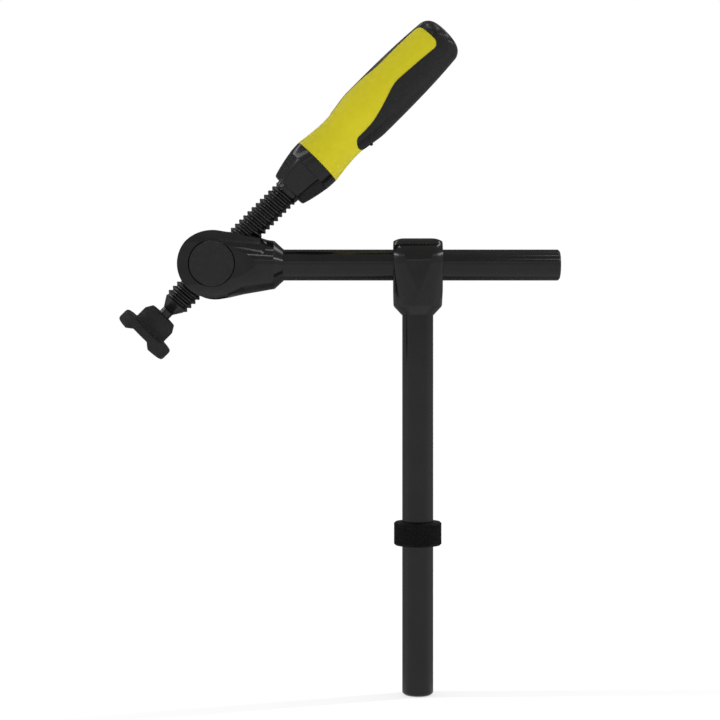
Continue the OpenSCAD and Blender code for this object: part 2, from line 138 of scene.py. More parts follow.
ROW_FADE = 0.004
HORIZON_ROW = (17.0, 20.0)
HORIZON_FRONT = 1.0
HORIZON_SIDE = 7.5
SIDE_STARTS = 0.86
SIDE_FULL = 0.93
HIGH_ROWS = ((37.5, 40.5, 7.0), (66.0, 70.0, 6.0))
HIGH_STARTS = 0.17
HIGH_FULL = 0.22
SWEEP_LOW = -0.03
SWEEP_HIGH = 0.03
SWEEP_GREY = 0.72
CEILING_GREY = 0.5
BACK_STEPS = ((0, 0.5, 0.45), (0.5, 1, 0.33))
SOFT_LIGHT = 0.82

world = bpy.data.worlds.new("studio")
scene.world = world
world.use_nodes = True
nodes, links = world.node_tree.nodes, world.node_tree.links
nodes.clear()
direction = nodes.new("ShaderNodeTexCoord")
parts = nodes.new("ShaderNodeSeparateXYZ")
links.new(direction.outputs["Generated"], parts.inputs[0])
level = parts.outputs["Z"]
sides = maths(nodes, links, "ABSOLUTE", parts.outputs["X"])
low_sky = ramped(nodes, links, level, SWEEP_LOW, SWEEP_HIGH, 1, SWEEP_GREY)
edge = [math.sin(math.radians(a)) for a in HORIZON_ROW]
high_sky = ramped(nodes, links, level, *edge, 1, CEILING_GREY / SWEEP_GREY)
sky = maths(nodes, links, "MULTIPLY", low_sky, high_sky)
power = ramped(nodes, links, sides, SIDE_STARTS, SIDE_FULL, HORIZON_FRONT, HORIZON_SIDE)
sky = maths(nodes, links, "MULTIPLY_ADD", lamp_row(nodes, links, level, *HORIZON_ROW), power, sky)
aside = ramped(nodes, links, sides, HIGH_STARTS, HIGH_FULL, 0, 1)
for low, high, strength in HIGH_ROWS:
    row = maths(nodes, links, "MULTIPLY", lamp_row(nodes, links, level, low, high), aside)
    sky = maths(nodes, links, "MULTIPLY_ADD", row, strength, sky)
for start, end, least in BACK_STEPS:
    darker = ramped(nodes, links, parts.outputs["Y"], start, end, 1, least)
    sky = maths(nodes, links, "MULTIPLY", sky, darker)
by_camera, by_sight = ray_kinds(nodes, links)
white = (1, 1, 1, 1)
seen = nodes.new("ShaderNodeBackground")
seen.inputs["Color"].default_value = white
links.new(chosen(nodes, links, by_camera, 1, sky), seen.inputs["Strength"])
soft = nodes.new("ShaderNodeBackground")
soft.inputs["Color"].default_value = white
soft.inputs["Strength"].default_value = SOFT_LIGHT
choose = nodes.new("ShaderNodeMixShader")
links.new(by_sight, choose.inputs["Fac"])
links.new(soft.outputs[0], choose.inputs[1])
links.new(seen.outputs[0], choose.inputs[2])
world_out = nodes.new("ShaderNodeOutputWorld")
links.new(choose.outputs[0], world_out.inputs["Surface"])
print("world:", len(nodes), "nodes, ceiling", CEILING_GREY)

# %% [markdown]
# The floor is one large sheet under the foot of the post. Most of what the camera sees of it is plain white,
# and the rest is an ordinary matt surface, which keeps a faint shadow. In reflections it darkens to the back.

# %% Floor
FLOOR_DROP = 0.2 * MM
FLOOR_HALF = 8.0
FLOOR_WHITE = 0.65
FLOOR_GLOW = 0.9
FLOOR_FRONT = 0.94
FAR_GLOW = 1.02
MATT_ENDS = (0.2, 0.6)

floor_mesh = bpy.data.meshes.new("floor")
bm = bmesh.new()
bmesh.ops.create_grid(bm, x_segments=1, y_segments=1, size=FLOOR_HALF)
bmesh.ops.translate(bm, vec=(0, 0, cad_low.z - FLOOR_DROP), verts=bm.verts)
bm.to_mesh(floor_mesh)
bm.free()
floor = bpy.data.objects.new("floor", floor_mesh)
scene.collection.objects.link(floor)
floor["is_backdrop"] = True

sweep = bpy.data.materials.new("white_sweep")
sweep.use_nodes = True
nodes, links = sweep.node_tree.nodes, sweep.node_tree.links
nodes.clear()
matt = nodes.new("ShaderNodeBsdfDiffuse")
matt.inputs["Color"].default_value = (0.9, 0.9, 0.9, 1)
glow = nodes.new("ShaderNodeEmission")
by_camera, by_sight = ray_kinds(nodes, links)
place = nodes.new("ShaderNodeNewGeometry")
spot = nodes.new("ShaderNodeSeparateXYZ")
links.new(place.outputs["Position"], spot.inputs[0])
squares = [maths(nodes, links, "POWER", spot.outputs[axis], 2) for axis in ("X", "Y")]
reach = maths(nodes, links, "SQRT", maths(nodes, links, "ADD", *squares))
behind = maths(nodes, links, "DIVIDE", spot.outputs["Y"], reach)
mirrored = FLOOR_FRONT
for start, end, least in BACK_STEPS:
    darker = ramped(nodes, links, behind, start, end, 1, least)
    mirrored = maths(nodes, links, "MULTIPLY", darker, mirrored)
bright = ramped(nodes, links, reach, *MATT_ENDS, FLOOR_GLOW, FAR_GLOW)
links.new(chosen(nodes, links, by_camera, bright, mirrored), glow.inputs["Strength"])
mixed = nodes.new("ShaderNodeMixShader")
plain = ramped(nodes, links, reach, *MATT_ENDS, FLOOR_WHITE, 1)
links.new(chosen(nodes, links, by_camera, plain, by_sight), mixed.inputs["Fac"])
links.new(matt.outputs[0], mixed.inputs[1])
links.new(glow.outputs[0], mixed.inputs[2])
floor_out = nodes.new("ShaderNodeOutputMaterial")
links.new(mixed.outputs[0], floor_out.inputs["Surface"])
floor_mesh.materials.append(sweep)
print("floor at z", round(cad_low.z - FLOOR_DROP, 5))

# %% [markdown]
# Two tall, narrow lamps stand on the left and on the right. They are narrow, so the post throws a thin, faint
# shadow across the floor on each side. Light linking keeps them to the floor, so they add no glare to the
# clamp.

# %% Lamps
TARGET = Vector((-0.04, 0, 0.12))
STRIP_LIGHT = 243.0
STRIP_SIZE = (0.06, 0.5)

floor_only = bpy.data.collections.new("floor_only")
floor_only.objects.link(floor)


def area_lamp(name, place, width, length, radiance):
    """A rectangular lamp that faces the clamp. Its power follows from its brightness and its area."""
    data = bpy.data.lights.new(name, "AREA")
    data.shape = "RECTANGLE"
    data.size = width
    data.size_y = length
    data.energy = radiance * math.pi * width * length
    lamp = bpy.data.objects.new(name, data)
    lamp.location = place
    lamp.rotation_euler = (TARGET - Vector(place)).to_track_quat("-Z", "Y").to_euler()
    lamp.light_linking.receiver_collection = floor_only
    scene.collection.objects.link(lamp)
    print(name, "power", round(data.energy, 2), "W")


area_lamp("left_strip", (-1.5, -0.05, 0.75), *STRIP_SIZE, STRIP_LIGHT)
area_lamp("right_strip", (1.4, 0.5, 0.75), *STRIP_SIZE, STRIP_LIGHT)

# %% [markdown]
# ## Finishes
# Each finish is a Principled shader. A fine noise on Object coordinates varies its colour and its roughness a
# little and gives it a grain, because no real surface is perfectly even. The scale of a noise is in features
# per metre, so a grain of half a millimetre has a scale of about two thousand.

# %% Helpers for finishes
TONE_ENDS = (0.33, 0.67)
GLOSS_ENDS = (0.3, 0.7)
PATCH_DETAIL = 3.0
GRIT_DETAIL = 2.0
BUMP_STRENGTH = 0.4
COOL_TINT = 1.04


def finish(name, specular):
    """A new Principled material, with its nodes and links."""
    material = bpy.data.materials.new(name)
    material.use_nodes = True
    tree = material.node_tree
    shader = tree.nodes["Principled BSDF"]
    shader.inputs["Specular IOR Level"].default_value = specular
    return material, tree.nodes, tree.links, shader


def speckle(nodes, links, scale, detail):
    """Noise in the object's own space."""
    place = nodes.new("ShaderNodeTexCoord")
    noise = nodes.new("ShaderNodeTexNoise")
    noise.inputs["Scale"].default_value = scale
    noise.inputs["Detail"].default_value = detail
    links.new(place.outputs["Object"], noise.inputs["Vector"])
    return noise.outputs["Fac"]


def two_tones(nodes, links, value, dark, light):
    """Colour that goes from one tone to another as a value goes from a third to two thirds."""
    ramp = nodes.new("ShaderNodeValToRGB")
    for stop, position, tone in zip(ramp.color_ramp.elements, TONE_ENDS, (dark, light)):
        stop.position = position
        stop.color = (*tone, 1)
    links.new(value, ramp.inputs["Fac"])
    return ramp.outputs["Color"]


def grain(nodes, links, shader, value, depth):
    """A bump as deep as depth in metres."""
    bump = nodes.new("ShaderNodeBump")
    bump.inputs["Strength"].default_value = BUMP_STRENGTH
    bump.inputs["Distance"].default_value = depth
    links.new(value, bump.inputs["Height"])
    links.new(bump.outputs["Normal"], shader.inputs["Normal"])


def worn(name, specular, dark, light, rough, patch, grit, depth):
    """A finish whose tone and gloss wander over patches and whose surface has a fine grit."""
    material, nodes, links, shader = finish(name, specular)
    cloud = speckle(nodes, links, patch, PATCH_DETAIL)
    links.new(two_tones(nodes, links, cloud, dark, light), shader.inputs["Base Color"])
    links.new(ramped(nodes, links, cloud, *GLOSS_ENDS, *rough), shader.inputs["Roughness"])
    grain(nodes, links, shader, speckle(nodes, links, grit, GRIT_DETAIL), depth)
    return material


def grey(v):
    """A dark grey with a slightly cool tint."""
    return (v, v, v * COOL_TINT)


# %% [markdown]
# Blackened steel has a thin oxide skin: nearly black, satin, and brighter only where it mirrors a lamp. The
# barrel nut is duller, the knurled collar is the darkest, and the moulded handle is a hard yellow core under
# a soft black grip.

# %% Finishes
black_steel = worn("black_steel", 0.27, grey(0.005), grey(0.0075), (0.09, 0.13), 160, 3500, 0.001 * MM)
drawn_steel = worn("drawn_steel", 0.27, grey(0.005), grey(0.0075), (0.09, 0.13), 60, 2600, 0.001 * MM)
thread_steel = worn("thread_steel", 0.34, grey(0.004), grey(0.008), (0.16, 0.22), 240, 3000, 0.001 * MM)
matt_steel = worn("matt_steel", 0.3, grey(0.006), grey(0.0095), (0.38, 0.5), 300, 1800, 0.006 * MM)
knurl_steel = worn("knurl_steel", 0.07, grey(0.002), grey(0.004), (0.3, 0.42), 400, 3000, 0.004 * MM)
gloss_black = worn("gloss_black", 0.29, grey(0.0045), grey(0.0065), (0.15, 0.19), 120, 2600, 0.0003 * MM)
spring_steel = worn("spring_steel", 0.5, grey(0.09), grey(0.14), (0.28, 0.4), 900, 3000, 0.004 * MM)
spring_steel.node_tree.nodes["Principled BSDF"].inputs["Metallic"].default_value = 1
ring_rubber = worn("ring_rubber", 0.3, grey(0.006), grey(0.01), (0.6, 0.75), 900, 2500, 0.01 * MM)
pad_steel = worn("pad_steel", 0.04, grey(0.019), grey(0.022), (0.36, 0.46), 300, 2600, 0.001 * MM)
YELLOW = (0.56, 0.495, 0.011), (0.58, 0.515, 0.013)
yellow_core = worn("yellow_core", 0.16, *YELLOW, (0.42, 0.52), 300, 2200, 0.012 * MM)
black_grip = worn("black_grip", 0.21, grey(0.0075), grey(0.0105), (0.22, 0.28), 500, 2400, 0.002 * MM)
print(len(bpy.data.materials), "materials")

# %% [markdown]
# ## Tools for turned pieces
# Most of this clamp is made on a lathe, and the spin operator is Blender's lathe: half an outline goes once
# round an axis. A corner of the outline can be softened first, because a real edge always has a small radius
# that catches the light. A finished piece is shaded smooth, with sharp edges where its faces meet steeply.

# %% Lathe and hand-over
WELD = 1e-7
COARSE_WELD = 1e-6


def softened(outline, parts=4):
    """Corners given as (radius, height, softness) become short curves that start that far from the corner."""
    points = []
    for i, corner in enumerate(outline):
        here = Vector(corner[:2])
        soft = corner[2] if len(corner) > 2 else 0
        if not soft:
            points.append(here)
            continue
        start = here + (Vector(outline[i - 1][:2]) - here).normalized() * soft
        end = here + (Vector(outline[i + 1][:2]) - here).normalized() * soft
        for k in range(parts + 1):
            t = k / parts
            points.append(start * (1 - t) ** 2 + here * 2 * t * (1 - t) + end * t ** 2)
    return points


def lathe(outline, steps=128):
    """Spins an outline of radius and height, in millimetres, about Z."""
    bm = bmesh.new()
    row = [bm.verts.new((p[0] * MM, 0, p[1] * MM)) for p in outline]
    edges = [bm.edges.new(pair) for pair in zip(row, row[1:])]
    bmesh.ops.spin(
        bm, geom=row + edges, cent=(0, 0, 0), axis=(0, 0, 1),
        angle=2 * math.pi, steps=steps, use_merge=True,
    )
    bmesh.ops.remove_doubles(bm, verts=bm.verts, dist=WELD)
    bmesh.ops.recalc_face_normals(bm, faces=bm.faces)
    return bm


def hand_over(bm, name, body, material, node, place=Matrix(), sharp=30):
    """Makes the mesh a piece of the clamp that rides on a body and may stand for a CAD node."""
    bmesh.ops.transform(bm, matrix=place, verts=bm.verts)
    mesh = bpy.data.meshes.new(name)
    bm.to_mesh(mesh)
    bm.free()
    mesh.shade_smooth()
    mesh.set_sharp_from_angle(angle=math.radians(sharp))
    mesh.materials.append(material)
    piece = bpy.data.objects.new(name, mesh)
    scene.collection.objects.link(piece)
    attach(piece, body)
    if node:
        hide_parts(node)
    print(name, len(mesh.polygons), "faces")
    return piece


def even_shading(piece):
    """Lets the large faces of a carved piece decide how its edges are shaded."""
    even = piece.modifiers.new("even", "WEIGHTED_NORMAL")
    even.keep_sharp = True


# %% [markdown]
# ## Post and arm
# Both are drawn round bars of the same size. The post has a chamfered foot and a shallow groove that marks
# where the collar stands. The arm has a chamfer at its free end, and its other end is hidden in the fork.

# %% Post
BAR_R = 7.95
ARM_Z = 143.5
POST_FOOT = -76.5
POST_TOP = 132.9
POST_CHAMFER = 1.0
EDGE_SOFT = 0.3
MARK_LOW = -0.3
MARK_TOP = 1.9
MARK_R = 7.55

post_outline = softened([
    (0, POST_FOOT), (BAR_R - POST_CHAMFER, POST_FOOT, EDGE_SOFT),
    (BAR_R, POST_FOOT + POST_CHAMFER, EDGE_SOFT),
    (BAR_R, MARK_LOW), (MARK_R, MARK_LOW), (MARK_R, MARK_TOP), (BAR_R, MARK_TOP),
    (BAR_R, POST_TOP), (0, POST_TOP),
])
hand_over(lathe(post_outline), "post_bar", "base", drawn_steel, "post")

# %% Arm
PIVOT_X = -104.5
SOCKET_X = 20.70
ARM_END = 72.7
ARM_CHAMFER = 0.9
TO_ARM = Matrix.Rotation(math.pi / 2, 4, "Y")
AT_ARM = Matrix.Translation((0, 0, ARM_Z * MM))
ALONG_ARM = AT_ARM @ TO_ARM

arm_outline = softened([
    (0, ARM_END), (BAR_R - ARM_CHAMFER, ARM_END, EDGE_SOFT), (BAR_R, ARM_END - ARM_CHAMFER, EDGE_SOFT),
    (BAR_R, PIVOT_X + SOCKET_X), (0, PIVOT_X + SOCKET_X),
])
hand_over(lathe(arm_outline), "arm_round", "arm", drawn_steel, "arm_bar", ALONG_ARM)

# %% [markdown]
# ## T head
# The head on the post is a barrel across the arm that is cut from an upright round with soft shoulders. It
# narrows to a round neck, so the flats on its four sides run out in points. Every section bulges outwards, so
# the whole outside is the convex hull of level rings: those of the crown, one at the points of the flats and
# the circles of the neck. The bores are cut with a Boolean, whose tools are thrown away.

# %% Carving
def carve(base, tool, operation="DIFFERENCE"):
    """Cuts or joins two bmeshes with an exact Boolean and returns the result."""
    blanks = []
    for label, bm in (("blank", base), ("tool", tool)):
        mesh = bpy.data.meshes.new(label)
        bm.to_mesh(mesh)
        bm.free()
        blank = bpy.data.objects.new(label, mesh)
        scene.collection.objects.link(blank)
        blanks.append(blank)
    cut = blanks[0].modifiers.new("cut", "BOOLEAN")
    cut.operation = operation
    cut.solver = "EXACT"
    cut.object = blanks[1]
    result = bmesh.new()
    result.from_object(blanks[0], bpy.context.evaluated_depsgraph_get())
    for blank in blanks:
        mesh = blank.data
        bpy.data.objects.remove(blank)
        bpy.data.meshes.remove(mesh)
    return result


def rod(radius, start, end, steps=96):
    """A round cutter along Z between two heights in millimetres."""
    return lathe([(0, start), (radius, start), (radius, end), (0, end)], steps)


def placed(bm, place):
    """The same bmesh after a move or a turn."""
    bmesh.ops.transform(bm, matrix=place, verts=bm.verts)
    return bm


def prism(outline, half):
    """A cutter with an outline of x and z, in millimetres, that reaches half its length to each side."""
    bm = bmesh.new()
    base = bm.faces.new([bm.verts.new((x * MM, -half * MM, z * MM)) for x, z in outline])
    grown = bmesh.ops.extrude_face_region(bm, geom=[base])
    far_side = [g for g in grown["geom"] if isinstance(g, bmesh.types.BMVert)]
    bmesh.ops.translate(bm, vec=(0, 2 * half * MM, 0), verts=far_side)
    bmesh.ops.recalc_face_normals(bm, faces=bm.faces)
    return bm


def skin(points):
    """The convex hull of points in metres."""
    bm = bmesh.new()
    for p in points:
        bm.verts.new(p)
    bmesh.ops.remove_doubles(bm, verts=bm.verts, dist=COARSE_WELD)
    hull = bmesh.ops.convex_hull(bm, input=bm.verts)
    loose = {v for v in hull["geom_interior"] + hull["geom_unused"] if isinstance(v, bmesh.types.BMVert)}
    bmesh.ops.delete(bm, geom=list(loose), context="VERTS")
    bmesh.ops.recalc_face_normals(bm, faces=bm.faces)
    return bm


def ring_points(radius, height, steps=192):
    """Points of a level circle, in millimetres."""
    angles = [2 * math.pi / steps * k for k in range(steps)]
    return [Vector((radius * math.cos(a), radius * math.sin(a), height)) for a in angles]


# %% T head
CROWN_R = 13.7
HEAD_HALF = 12.5
ROUND_SIDE = 16.8
ROUND_DEPTH = 14.7
SHOULDER_SOFT = 0.38
NECK_R = 12.5
FLAT_DROP = 13.5
FLAT_SIDE = 14.65
NECK_DROP = 18.5
CONE_TOP = 21.0
CONE_DROP = 25.7
CONE_SOFT = 1.0
RIM_R = BAR_R + 0.15
SLIDE_R = BAR_R + 0.05
PRESS_R = BAR_R + 0.02
ARM_CUT = 30
POST_CUT = 40
CROSS_CUT = 20
PIN_STEPS = 48
PIN_DROP = 17.25
PIN_BORE = 2.02
CROWN_LEVELS = 44
LAST_LEVEL = math.radians(89)


def cut_ring(side_r, depth_r, most_x, most_y, level):
    """Points of a level ellipse that is cut off by flats on its four sides."""
    edge_x = min(most_x, side_r)
    edge_y = min(most_y, depth_r * math.sqrt(1 - (edge_x / side_r) ** 2))
    crease_x = min(edge_x, side_r * math.sqrt(1 - (most_y / depth_r) ** 2))
    points = []
    for p in ring_points(1, 0):
        x = max(-edge_x, min(edge_x, side_r * p.x))
        y = max(-most_y, min(most_y, depth_r * p.y))
        points.append(Vector((x, y, level)))
    for side in (-1, 1):
        for front in (-1, 1):
            points.append(Vector((side * crease_x, front * most_y, level)))
            points.append(Vector((side * edge_x, front * edge_y, level)))
    return points


head_points = cut_ring(FLAT_SIDE, CROWN_R, HEAD_HALF, CROWN_R, -FLAT_DROP)
for k in range(CROWN_LEVELS + 1):
    a = LAST_LEVEL * math.sin(math.pi / 2 * k / CROWN_LEVELS)
    depth_r = ROUND_DEPTH * math.cos(a) ** SHOULDER_SOFT
    most_y = min(CROWN_R * math.cos(a), depth_r)
    side_r = depth_r * ROUND_SIDE / ROUND_DEPTH
    head_points += cut_ring(side_r, depth_r, HEAD_HALF, most_y, CROWN_R * math.sin(a))
neck_line = [(NECK_R, -NECK_DROP), (NECK_R, -CONE_TOP, CONE_SOFT), (RIM_R, -CONE_DROP)]
for radius, drop in softened(neck_line, 6):
    head_points += ring_points(radius, drop)

tee = skin([p * MM for p in head_points])
tee = carve(tee, placed(rod(SLIDE_R, -ARM_CUT, ARM_CUT), TO_ARM))
tee = carve(tee, rod(PRESS_R, -POST_CUT, POST_TOP - ARM_Z))
AT_PIN = Matrix.Translation((0, 0, -PIN_DROP * MM)) @ TO_ARM
tee = carve(tee, placed(rod(PIN_BORE, -CROSS_CUT, CROSS_CUT, PIN_STEPS), AT_PIN))
tee_block = hand_over(tee, "tee_block", "base", black_steel, "t_head", AT_ARM, sharp=8)
even_shading(tee_block)

# %% [markdown]
# ## Fork
# The fork is turned about the arm, then milled to two flat sides and a round nose. The turned cone is a lathe
# piece that a box cuts to the flats, whose edges curve together where the cone grows thinner than the plate.
# The cheeks are fuller than the cone: their sections across the arm are ovals, cut off by the flats and the
# nose, and the hull of these sections joins the cone. The upper half stays full as far as the slot goes, and
# the lower half only over the pivot. The slot, the cross bore, the socket and the pin hole are cut out.

# %% Blank of the fork
HEAD_R = 17.4
CHEEK_HALF = 13.85
FORK_NECK_R = 12.3
FORK_END = 35.70
CHAMFER_LEN = 4.6
TAPER_END = FORK_END - CHAMFER_LEN
CHEEK_OVAL = (19.7, 16.5)
UPPER_CHEEK = ((10.0, 18.5, 15.5), (24.4, 16.6, 13.2), (27.6, 12.8, 12.7))
LOWER_CHEEK = ((8.0, 18.8, 15.6), (18.0, 14.4, 13.5))
NECK_SOFT = 0.25
NOSE_STEPS = 60
CONE_RINGS = 24
CONE_STEPS = 256
BOX_SIZE = 0.2
BOX_SKIM = 2e-5
BARREL_GAP = 0.2

AT_PIVOT = Matrix.Translation((PIVOT_X * MM, 0, ARM_Z * MM))
ACROSS = Matrix.Rotation(math.pi / 2, 4, "X")
neck_far = math.hypot(TAPER_END, FORK_NECK_R)
tangent = math.atan2(FORK_NECK_R, TAPER_END) + math.acos(HEAD_R / neck_far)


def taper_radius(x):
    """Radius of the cone that touches the round nose."""
    return (HEAD_R - x * math.cos(tangent)) / math.sin(tangent)


rings = [TAPER_END * k / CONE_RINGS for k in range(CONE_RINGS)]
cone_outline = [(0, 0)] + [(taper_radius(x), x) for x in rings]
cone_outline += [(FORK_NECK_R, TAPER_END, NECK_SOFT), (RIM_R, FORK_END), (0, FORK_END)]
cone = placed(lathe(softened(cone_outline), CONE_STEPS), TO_ARM)
box = bmesh.new()
bmesh.ops.create_cube(box, size=1)
bmesh.ops.scale(box, vec=(BOX_SIZE, 2 * CHEEK_HALF * MM - BOX_SKIM, BOX_SIZE), verts=box.verts)
cone = carve(cone, box, "INTERSECT")

nose = [math.pi - (math.pi - tangent) * k / NOSE_STEPS for k in range(NOSE_STEPS + 1)]
cheek_points = []
for half, stations in ((1, UPPER_CHEEK), (-1, LOWER_CHEEK)):
    side_view = [(HEAD_R * math.cos(a), HEAD_R * math.sin(a), *CHEEK_OVAL) for a in nose]
    side_view += [(x, min(taper_radius(x), oval_high), oval_high, deep) for x, oval_high, deep in stations]
    for x, high, oval_high, deep in side_view:
        for p in cut_ring(deep, oval_high, CHEEK_HALF, high, x):
            if p.y * half >= 0:
                cheek_points.append(Vector((p.z, p.x, p.y)) * MM)
fork = carve(skin(cheek_points), cone, "UNION")
print("fork blank", len(fork.faces), "faces")

# %% Cuts of the fork
SLOT_HALF = 7.6
SLOT_END = 7.3
BARREL_R = 11.7
BARREL_STEPS = 160
FORK_PIN_X = SOCKET_X + 7.5
SLOT_PAST = 4
LEAN_ANGLE = math.pi / 4

slot_far = HEAD_R + SLOT_PAST
slot_top = (SLOT_END + slot_far * math.sin(LEAN_ANGLE)) / math.cos(LEAN_ANGLE)
slot_outline = [
    (-slot_far, -slot_far), (SLOT_HALF, -slot_far), (SLOT_HALF, SLOT_HALF - SLOT_END * math.sqrt(2)),
    (slot_top, slot_far), (-slot_far, slot_far),
]
fork = carve(fork, prism(slot_outline, SLOT_HALF))
barrel_bore = rod(BARREL_R + BARREL_GAP, -CROSS_CUT, CROSS_CUT, BARREL_STEPS)
fork = carve(fork, placed(barrel_bore, ACROSS))
fork = carve(fork, placed(rod(PRESS_R, SOCKET_X, POST_CUT), TO_ARM))
AT_FORK_PIN = Matrix.Translation((FORK_PIN_X * MM, 0, 0))
fork = carve(fork, placed(rod(PIN_BORE, -CROSS_CUT, CROSS_CUT, PIN_STEPS), AT_FORK_PIN))
fork_head = hand_over(
    fork, "fork_head", "arm", black_steel, "spindle_head", AT_PIVOT, sharp=6,
)
even_shading(fork_head)

# %% [markdown]
# ## Spindle
# The screw has a coarse thread with narrow crests. One pitch of its outline is swept along a helix by the
# spin operator with a step of height, which gives a real thread and not a stack of rings. Near the tip the
# crests run out on a cone, so points outside the cone are drawn in to it. The thin neck with the ball and the
# plain end under the ferrule are two more lathe pieces.

# %% Spindle
PITCH = 3.0
CREST_R = 7.2
ROOT_R = 6.0
THREAD_TOP = 54.3
COLLAR_LOW = 52.1
COLLAR_TOP_R = 6.9
THREAD_LOW = -27.8
CONE_START_R = 6.5
CONE_END = -33.2
THIN_R = 3.1
BALL_DROP = -43.5
BALL_R = 5.0
THREAD_STEPS = 40
THREAD_SHIFT = 1.2
THREAD_PAST = 0.3
SPARE_TURNS = 2
BALL_PARTS = 20
TIP_BELOW = 0.2
TIP_INSIDE = 0.4
TIP_STEPS = 64
TOP_STEPS = 96

LEAN = Matrix.Rotation(LEAN_ANGLE, 4, "Y")
ALONG_SPINDLE = AT_PIVOT @ LEAN

turns = math.ceil((COLLAR_LOW - CONE_END) / PITCH) + SPARE_TURNS
tooth = [
    (ROOT_R, 0), (ROOT_R, 0.08), (ROOT_R + 0.1, 0.11), (CREST_R - 0.1, 0.38), (CREST_R, 0.42),
    (CREST_R, 0.58), (CREST_R - 0.1, 0.62), (ROOT_R + 0.1, 0.89), (ROOT_R, 0.92), (ROOT_R, 1),
]
screw = bmesh.new()
low = CONE_END - PITCH - THREAD_SHIFT
row = [screw.verts.new((r * MM, 0, (low + PITCH * t) * MM)) for r, t in tooth]
edges = [screw.edges.new(pair) for pair in zip(row, row[1:])]
bmesh.ops.spin(
    screw, geom=row + edges, cent=(0, 0, 0), axis=(0, 0, 1), dvec=(0, 0, PITCH * MM / THREAD_STEPS),
    angle=2 * math.pi * turns, steps=THREAD_STEPS * turns,
)
bmesh.ops.remove_doubles(screw, verts=screw.verts, dist=COARSE_WELD)
cone_slope = (CONE_START_R - THIN_R) / (THREAD_LOW - CONE_END)
for v in screw.verts:
    radius = math.hypot(v.co.x, v.co.y)
    limit = max(THIN_R, THIN_R + (v.co.z / MM - CONE_END) * cone_slope) * MM
    if radius > limit:
        v.co.x *= limit / radius
        v.co.y *= limit / radius
for level, sign in ((CONE_END, -1), (COLLAR_LOW + THREAD_PAST, 1)):
    bmesh.ops.bisect_plane(
        screw, geom=screw.verts[:] + screw.edges[:] + screw.faces[:], dist=WELD,
        plane_co=(0, 0, level * MM), plane_no=(0, 0, sign), clear_outer=True,
    )
bmesh.ops.holes_fill(screw, edges=[e for e in screw.edges if e.is_boundary])
bmesh.ops.recalc_face_normals(screw, faces=screw.faces)

ball_angle = math.asin(THIN_R / BALL_R)
ball_arc = [(math.pi - ball_angle) * k / BALL_PARTS for k in range(BALL_PARTS + 1)]
ball_outline = [(BALL_R * math.sin(a), BALL_DROP - BALL_R * math.cos(a)) for a in ball_arc]
tip_end = CONE_END + TIP_INSIDE
tip_outline = ball_outline + [(THIN_R, CONE_END - TIP_BELOW), (THIN_R, tip_end), (0, tip_end)]
top_outline = softened([
    (0, COLLAR_LOW), (COLLAR_TOP_R, COLLAR_LOW, EDGE_SOFT), (COLLAR_TOP_R, THREAD_TOP), (0, THREAD_TOP),
])
for outline, steps in ((tip_outline, TIP_STEPS), (top_outline, TOP_STEPS)):
    extra = bpy.data.meshes.new("extra")
    part = lathe(outline, steps)
    part.to_mesh(extra)
    part.free()
    screw.from_mesh(extra)
    bpy.data.meshes.remove(extra)
hand_over(
    screw, "screw_thread", "screw", thread_steel, "spindle", ALONG_SPINDLE, sharp=40,
)

# %% [markdown]
# ## Ferrule
# The black ferrule under the handle is a turned barrel shape whose lower part has six wrench flats. It starts
# as a lathe piece, and each point that lies outside a flat is drawn in to it. A soft minimum in place of a
# hard one leaves the corners gently rounded.

# %% Ferrule
FERRULE_LEN = 20.6
FERRULE_LOW_R = 9.9
BASE_R = 13.6
BULGE = 0.9
HEX_LEN = 14.0
FLAT_LOW_R = 9.3
FLAT_CENTRES = math.radians(33)
CORNER_SOFT = 0.45
FERRULE_BORE = 6.5
FERRULE_STEPS = 240
FOOT_INSET = 1.3
FOOT_WIDE = 0.9
FOOT_HIGH = 0.5
FOOT_ANGLES = (0.4, 0.8, 1.2)
HEX_STEP = 0.1
HEX_ROWS = 22
TOP_ROWS = 8
TOP_EDGE = 0.3
TOP_INSET = 0.25
INSIDE_R = 8


def ferrule_radius(h):
    """Radius of the turned ferrule at a height, before its flats are cut."""
    t = h / FERRULE_LEN
    return FERRULE_LOW_R + (BASE_R - FERRULE_LOW_R) * t + 4 * BULGE * t * (1 - t)


def soft_least(a, b, width):
    """The smaller of two values, rounded off where they are close."""
    gap = max(width - abs(a - b), 0) / width
    return min(a, b) - gap ** 2 * width / 4


hex_span = HEX_LEN - (FOOT_HIGH + 2 * HEX_STEP)
top_span = FERRULE_LEN - HEX_LEN - (HEX_STEP + TOP_EDGE)
heights = [FOOT_HIGH + hex_span * k / HEX_ROWS for k in range(HEX_ROWS + 1)]
heights += [HEX_LEN - HEX_STEP, HEX_LEN + HEX_STEP]
heights += [HEX_LEN + HEX_STEP + top_span * k / TOP_ROWS for k in range(1, TOP_ROWS + 1)]
foot_r = FERRULE_LOW_R - FOOT_WIDE
ferrule_outline = [(FERRULE_BORE, 0), (FERRULE_LOW_R - FOOT_INSET, 0)]
for a in FOOT_ANGLES:
    ferrule_outline.append((foot_r + FOOT_WIDE * math.sin(a), FOOT_HIGH - FOOT_HIGH * math.cos(a)))
ferrule_outline += [(ferrule_radius(h), h) for h in heights]
ferrule_outline += [(BASE_R - TOP_INSET, FERRULE_LEN), (FERRULE_BORE, FERRULE_LEN), (FERRULE_BORE, 0)]
ferrule = lathe(ferrule_outline, FERRULE_STEPS)
flat_slope = (BASE_R - FERRULE_LOW_R) / FERRULE_LEN
